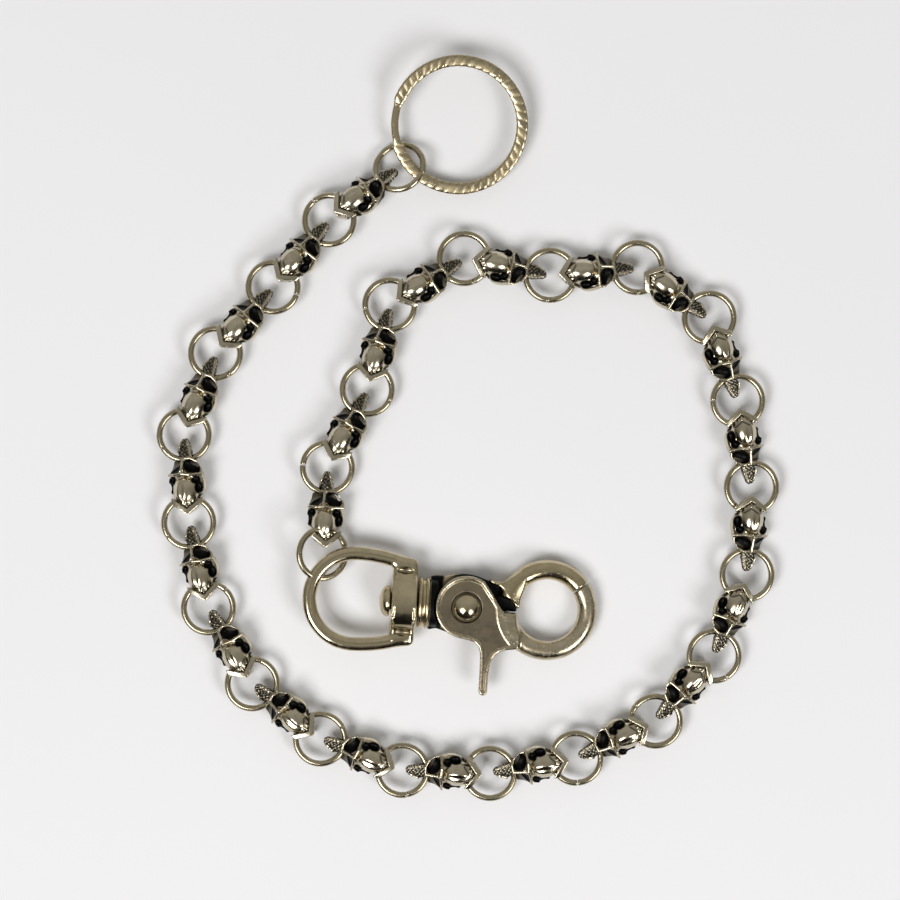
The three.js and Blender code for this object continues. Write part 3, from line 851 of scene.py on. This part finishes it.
def eye_mesh():
    points, faces = cast(eye_solid, (-24.3, -11.3, -4.7), (0.6, 11.3, 4.7), SNAP_GRID)
    return mesh_of("swivel_eye", points, faces, {"patina_and_shade": eye_notch_shade(points.T)})


def swivel_rivet_mesh():
    """The swivel's head behind the barrel and its stem through it, turned about the snap's axis."""
    dome = [
        (3.25 * math.cos(math.radians(a)), -5.95 - 1.75 * math.sin(math.radians(a)))
        for a in range(88, 0, -8)
    ]
    profile = [(0, -7.72)] + dome + [
        (3.3, -5.9), (3.25, -5.6), (3.1, -5.5), (1.8, -5.5), (1.8, 2.7), (0, 2.7)
    ]
    points, faces = lathe(profile, 56)
    points = points[:, [2, 0, 1]]
    return turned_outward(mesh_of("swivel_rivet", points, faces))


# ---- hook body ----
def hook_arc(p, start, end):
    """Part of the hook's ring between two headings in degrees, cut off square."""
    bar = hoop(p, HOOK_RING, HOOK_RING_RADIUS, HOOK_RING_BAR)
    middle = math.radians((start + end) / 2)
    half = math.radians((end - start) / 2)
    dx, dy = p[0] - HOOK_RING[0], p[1] - HOOK_RING[1]
    turned_x = dx * math.cos(middle) + dy * math.sin(middle)
    turned_y = np.abs(-dx * math.sin(middle) + dy * math.cos(middle))
    beyond = turned_y * math.cos(half) - turned_x * math.sin(half)
    if half >= math.pi / 2:
        beyond = np.where(turned_x < 0, beyond, -1e3)
    return np.maximum(bar, beyond)


def disc_distance(p):
    return np.hypot(p[0] - PIVOT[0], p[1] - PIVOT[1])


def body_solid(p):
    """The collar, the neck, the plate under the lever and the far part of the hook's ring."""
    wide, high = COLLAR_HALF
    collar = drum(p, 0, (0, 0, 0), wide, high, 0.3, 2.7, 0.6)
    groove = np.hypot(p[0] - 1.55, (np.hypot(p[1] / wide, p[2] / high) - 1) * high) - 0.42
    collar = cut(collar, groove, 0.3)
    neck = drum(p, 0, (0, 0, 0), 4.8, 3.0, 2.2, 4.6, 0.4)
    solid = join(collar, neck, 0.35)
    flat = outline(p, curve_points([
        (2.3, -4.7), (4.6, -5.2), (7.0, -5.9), (10.5, -6.6), (13.0, -6.0), (16.4, -4.6),
        (17.9, -1.6), (19.0, -0.75), (21.0, -0.7), (21.1, 0.6), (20.2, 3.2), (18.6, 4.9),
        (15.2, 5.3), (12.4, 6.2), (9.5, 6.5), (6.0, 5.9), (2.3, 4.7),
    ], 4))
    base = plate(flat, p[2], -2.6, -0.1, 0.7)
    solid = join(solid, base, 0.5)
    upper = outline(p, curve_points([
        (16.9, 4.5), (18.0, 3.7), (19.5, 1.9), (20.9, 0.25), (21.5, 0.3), (21.7, 2.2), (22.3, 4.6),
        (21.9, 7.2), (19.8, 6.4), (17.6, 5.4), (15.2, 5.6), (15.6, 5.0),
    ], 4))
    bridge = plate(upper, p[2], -2.05, 1.8, 0.4)
    solid = join(solid, bridge, 0.2)
    solid = join(solid, hook_arc(p, SPLIT_ANGLE + HALF_SPLIT, 165), 1.1)
    disc = disc_distance(p)
    solid = cut(solid, np.maximum(disc - DISC_RADIUS - 0.32, -0.1 - p[2]), 0.12)
    solid = cut(solid, np.maximum(disc - 3.7, -2.0 - p[2]), 0.15)
    solid = cut(solid, disc - PIVOT_BORE, 0.1)
    stem = np.maximum(np.hypot(p[1], p[2]) - SWIVEL_BORE, p[0] - 3.0)
    return cut(solid, stem, 0.15)


def body_painted_shade(p):
    """Painted shade in the slot beside the lever, on the seat under it and on the neck behind it."""
    below = np.clip((0.05 - p[2]) / 0.25, 0, 1) * np.clip((p[2] + 1.6) / 0.4, 0, 1)
    # painted shade on the seat, under the lever
    seat = below * np.clip((DISC_RADIUS + 0.7 - disc_distance(p)) / 0.3, 0, 1)
    slot = outline(p, [
        (9.5, 7.0), (13.0, 6.7), (15.0, 5.9), (16.9, 4.7), (18.0, 3.9), (19.6, 1.9), (21.0, 0.25),
        (21.3, -0.9), (18.6, -1.5), (12.0, -1.5), (9.5, 4.0),
    ])
    # painted shade in the slot beside the lever
    slot = np.clip((0.05 - slot) / 0.15, 0, 1) * np.clip((1.55 - p[2]) / 0.2, 0, 1)
    # painted shade on the neck behind the lever
    neck = np.clip((p[0] - 2.75) / 0.15, 0, 1) * np.clip((5.8 - p[0]) / 0.4, 0, 1)
    neck = neck * np.clip((p[2] + 1.8) / 0.4, 0, 1)
    return np.clip(np.maximum(np.maximum(seat, slot), neck), 0, 1)


def body_mesh():
    points, faces = cast(body_solid, (-0.2, -7.6, -4.4), (38.6, 11.2, 4.4), SNAP_GRID)
    return mesh_of("hook_body", points, faces, {"patina_and_shade": body_painted_shade(points.T)})


# ---- trigger lever ----
def lever_outline(p):
    """The flat distance to the lever's round end, its thumb tab and its arm up to the ring."""
    corners = arc_points(PIVOT, DISC_RADIUS, 58, 262, 40) + [
        (11.2, -7.05), (12.6, -7.45), (13.5, -8.3), (13.95, -9.6), (14.05, -12.0), (14.1, -15.0),
        (14.1, -17.6), (14.35, -18.2), (14.95, -18.45), (15.55, -18.2), (15.8, -17.6),
        (15.8, -15.0), (15.85, -13.6), (16.05, -12.2), (16.45, -11.0), (17.1, -9.95),
        (18.0, -9.25), (19.2, -8.8), (20.4, -8.65), (21.9, -8.4), (21.8, -5.6), (21.1, -3.4),
        (20.95, -1.15), (19.5, -1.2), (18.6, -1.15), (17.6, 0.1), (16.3, 2.0), (14.9, 3.9),
    ]
    return outline(p, corners)


def lever_solid(p):
    """A rimmed plate with a thumb tab, run into the near part of the hook's ring."""
    flat = lever_outline(p)
    solid = plate(flat, p[2], 0.2, 2.4, 0.45)
    disc = disc_distance(p)
    ring_side = np.hypot(p[0] - HOOK_RING[0], p[1] - HOOK_RING[1])
    rim = np.maximum(flat, -(flat + 0.62))
    rim = np.maximum(rim, np.maximum(1.6 - p[2], p[2] - 2.62))
    rim = np.maximum(rim, p[0] - 16.0)
    solid = join(solid, rim, 0.25)
    solid = join(solid, hook_arc(p, 189, 360 + SPLIT_ANGLE - HALF_SPLIT), 0.9)
    face = np.maximum(flat + 0.85, 2.28 - p[2])
    face = np.maximum(face, 10.75 - ring_side)
    solid = cut(solid, face, 0.1)
    room = np.maximum(disc - 8.0, p[2] - 0.2)
    solid = cut(solid, room, 0.1)
    seat = np.maximum(disc - 3.15, 1.85 - p[2])
    solid = cut(solid, seat, 0.25)
    return cut(solid, disc - PIVOT_BORE, 0.1)


def lever_face_and_seat_shadow(p):
    """The darkened face inside the bright rim, darkest round the rivet's seat, where a painted shadow
    lies.
    """
    disc = disc_distance(p)
    level = np.clip((2.5 - p[2]) / 0.1, 0, 1)
    # painted shadow in a ring round the rivet's seat
    seat = np.clip(1 - np.abs(disc - 3.0) / 0.5, 0, 1) * level
    inside = np.clip((-0.75 - lever_outline(p)) / 0.3, 0, 1) * level
    clear = np.hypot(p[0] - HOOK_RING[0], p[1] - HOOK_RING[1]) - 10.6
    # the textured face's own darker tone
    face = 0.74 * inside * np.clip(clear / 0.4, 0, 1)
    return np.clip(np.maximum(0.95 * seat, face), 0, 1)


def lever_mesh():
    points, faces = cast(lever_solid, (3.6, -19.0, -2.5), (38.6, 6.8, 3.0), LEVER_GRID)
    return mesh_of("trigger_lever", points, faces, {"patina_and_shade": lever_face_and_seat_shadow(points.T)})


def pivot_rivet_mesh():
    """A rivet with a low domed head, which is part of a ball."""
    curve = 3.45
    dome = [
        (curve * math.sin(math.radians(a)), 3.9 - curve + curve * math.cos(math.radians(a)))
        for a in range(51, 0, -3)
    ]
    profile = [(0, -3.5), (1.9, -3.4), (2.2, -3.1), (2.2, -2.9), (1.5, -2.9), (1.5, 2.3), (2.62, 2.3)]
    profile += dome + [(0, 3.9)]
    points, faces = lathe(profile, 64)
    points = points + np.array((PIVOT[0], PIVOT[1], 0))
    return turned_outward(mesh_of("pivot_rivet", points, faces))


def spring_mesh():
    """A coil of round wire round the pivot."""
    turns = 2.5
    steps = 150
    wire = 0.24
    radius = 2.6
    sections = []
    for i in range(steps + 1):
        angle = 2 * math.pi * turns * i / steps
        out = np.array((math.cos(angle), math.sin(angle), 0))
        centre = out * radius + np.array((PIVOT[0], PIVOT[1], -1.6 + 1.1 * i / steps))
        sections.append(round_section(centre, out, wire, 12))
    points, faces = sweep(sections)
    return turned_outward(mesh_of("trigger_spring", points, faces))


# ---- building ----
snap_ahead = joint_axis("hook_swivel")
snap_up = upward(joint_axis("trigger_pull"))
snap_place = place_of(joint_point("hook_swivel"), snap_ahead, snap_up)

snap_pieces = [
    ("eye", eye_mesh(), "swivel_eye", "swivel_eye", polished_nickel, "nickel"),
    ("swivel_head", swivel_rivet_mesh(), "hook", "swivel_rivet", polished_nickel, "nickel"),
    ("hook", body_mesh(), "hook", "hook_body", hook_nickel, "cast_nickel"),
    ("trigger", lever_mesh(), "trigger_lever", "trigger_lever", cast_nickel, "cast_nickel"),
    ("pivot", pivot_rivet_mesh(), "hook", "pivot_rivet", polished_nickel, "nickel"),
    ("spring", spring_mesh(), "hook", "trigger_spring", spring_steel, "spring_steel"),
]
for name, mesh, *rest in snap_pieces:
    piece(name, laid(mesh, snap_place), Matrix(), *rest)
piece(
    "key_ring_wire", laid(key_ring_mesh(), key_ring_place()), Matrix(), "key_ring", "key_ring",
    pale_nickel, "pale_nickel",
)


def chain_places():
    """Each ring's and each link's place, from the joints between them."""
    rings = {}
    links = {}
    last_normal = upward(joint_axis(f"link_{LINK_COUNT:02d}_round_ring"))
    for k in range(LINK_COUNT, 0, -1):
        eye = joint_point(f"ring_{k:02d}_in_eye")
        centre = node_middle(f"jump_ring_{k:02d}")
        along = (centre - eye).normalized()
        normal = upward(along.cross(joint_axis(f"ring_{k:02d}_in_eye")))
        rings[k] = place_of(centre, along, normal)
        links[k] = (eye - along * HALF_SPACING * MILLIMETRE, along)
    rings[RING_COUNT] = place_of(
        node_middle(f"jump_ring_{RING_COUNT:02d}"), links[LINK_COUNT][1], last_normal
    )
    lean = {k: math.asin(place.col[1].z) for k, place in rings.items()}
    made = {}
    # a link rolls by half as much as one of its rings leans
    for k, (origin, along) in links.items():
        half_lean = lean[k + 1] / 2 if k > LINK_COUNT / 2 else lean[k] / 2
        if k == LINK_COUNT:
            wire = last_normal.cross(along).normalized()
            half_lean = math.asin(wire.z) / 2
        made[k] = place_of(origin, along, Z_AXIS) @ Matrix.Rotation(half_lean, 4, "X")
    return rings, made


ring_places, link_places = chain_places()
seams = random.Random(11)
ring_meshes = [
    ring_mesh("jump_ring_tight", 0.5, 0.05),
    ring_mesh("jump_ring_parted", 1.8, 0.12),
    ring_mesh("jump_ring_shifted", 0.9, 0.3),
]
# These reach furthest out, so each gets a mesh of its own, laid in place.
LAID_RINGS = (1, 2, 5, 16)
LAID_LINKS = (1, 2, 24)


def chain_piece(name, mesh, place, node, material, slot, own_mesh):
    """A ring or a link, which rides on the body of its own node."""
    if own_mesh:
        mesh, place = laid(mesh.copy(), place), Matrix()
    piece(name, mesh, place, node, node, material, slot)


for k, place in ring_places.items():
    seam = Matrix.Rotation(math.radians(seams.uniform(50, 130) * seams.choice((-1, 1))), 4, "Z")
    chain_piece(
        f"ring_{k:02d}", seams.choice(ring_meshes), place @ seam, f"jump_ring_{k:02d}",
        ring_nickel, "ring_wire", k in LAID_RINGS,
    )
skull = link_mesh()
for k, place in link_places.items():
    chain_piece(
        f"skull_{k:02d}", skull, place, f"skull_link_{k:02d}", aged_silver, "aged_silver",
        k in LAID_LINKS,
    )


# ---- floor, light and camera ----
VIEW_MIDDLE = Vector((-3.69, -4.57, 0)) * MILLIMETRE
VIEW_WIDTH = 189 * MILLIMETRE
VIEW_HEIGHT = 0.62
SENSOR = 36
TABLE_SIZE = 3.0
TABLE_SQUARES = 8
DAYLIGHT = (1.0, 0.987, 0.97)


def floor():
    """A white table top, laid in squares."""
    mesh = bpy.data.meshes.new("table")
    row = [TABLE_SIZE * (i / TABLE_SQUARES - 0.5) for i in range(TABLE_SQUARES + 1)]
    points = [(x, y, 0) for y in row for x in row]
    starts = [j * len(row) + i for j in range(TABLE_SQUARES) for i in range(TABLE_SQUARES)]
    faces = [(a, a + 1, a + len(row) + 1, a + len(row)) for a in starts]
    mesh.from_pydata(points, [], faces)
    made = bpy.data.objects.new("table", mesh)
    bpy.context.scene.collection.objects.link(made)
    made.location.z = cad_low.z
    material = bpy.data.materials.new("white_table")
    material.use_nodes = True
    tree = material.node_tree
    shader = tree.nodes["Principled BSDF"]
    place = add(tree, "ShaderNodeTexCoord").outputs["Object"]
    cloud = add(tree, "ShaderNodeTexNoise", Vector=place, Scale=6.0, Detail=2.0)
    tint = ramp(tree, cloud.outputs["Fac"], (0.3, (0.845, 0.85, 0.88)), (0.7, (0.865, 0.87, 0.90)))
    tree.links.new(tint, shader.inputs["Base Color"])
    shader.inputs["Roughness"].default_value = 0.6
    mesh.materials.append(material)


def area_light(name, azimuth, elevation, distance, size, power):
    """A square soft light that looks at the middle of the chain."""
    data = bpy.data.lights.new(name, "AREA")
    data.size = size
    data.energy = power
    data.color = DAYLIGHT
    made = bpy.data.objects.new(name, data)
    bpy.context.scene.collection.objects.link(made)
    a, e = math.radians(azimuth), math.radians(elevation)
    direction = Vector((math.cos(a) * math.cos(e), math.sin(a) * math.cos(e), math.sin(e)))
    made.location = VIEW_MIDDLE + direction * distance
    made.rotation_euler = direction.to_track_quat("Z", "Y").to_euler()


def surroundings():
    """A dim room: black low on the near side, mid grey toward the far side and overhead."""
    world = bpy.data.worlds.new("room")
    bpy.context.scene.world = world
    world.use_nodes = True
    tree = world.node_tree
    direction = add(tree, "ShaderNodeTexCoord").outputs["Generated"]
    parts = add(tree, "ShaderNodeSeparateXYZ", Vector=direction).outputs
    height = math_node(tree, "MULTIPLY", parts["Z"], 0.24)
    side = math_node(tree, "MULTIPLY_ADD", parts["Y"], 0.42)
    tree.links.new(math_node(tree, "ADD", height, 0.5), side.node.inputs[2])
    shade = ramp(
        tree, side,
        (0.0, (0.006, 0.006, 0.006)), (0.49, (0.010, 0.009, 0.008)),
        (0.54, (0.17, 0.165, 0.145)), (0.92, (0.42, 0.41, 0.385)),
    )
    tree.links.new(shade, tree.nodes["Background"].inputs["Color"])
    tree.nodes["Background"].inputs["Strength"].default_value = 1.0


def camera():
    """Straight above the chain, as wide as it needs."""
    data = bpy.data.cameras.new("camera")
    data.sensor_width = SENSOR
    data.lens = SENSOR * VIEW_HEIGHT / VIEW_WIDTH
    made = bpy.data.objects.new("camera", data)
    bpy.context.scene.collection.objects.link(made)
    made.location = VIEW_MIDDLE + Vector((0, 0, VIEW_HEIGHT))
    bpy.context.scene.camera = made


floor()
surroundings()
area_light("window_left", 225, 55, 2.6, 1.15, 42.0)
area_light("window_right", 315, 42, 2.6, 1.0, 28.5)
camera()
bpy.context.scene.view_settings.view_transform = "Standard"
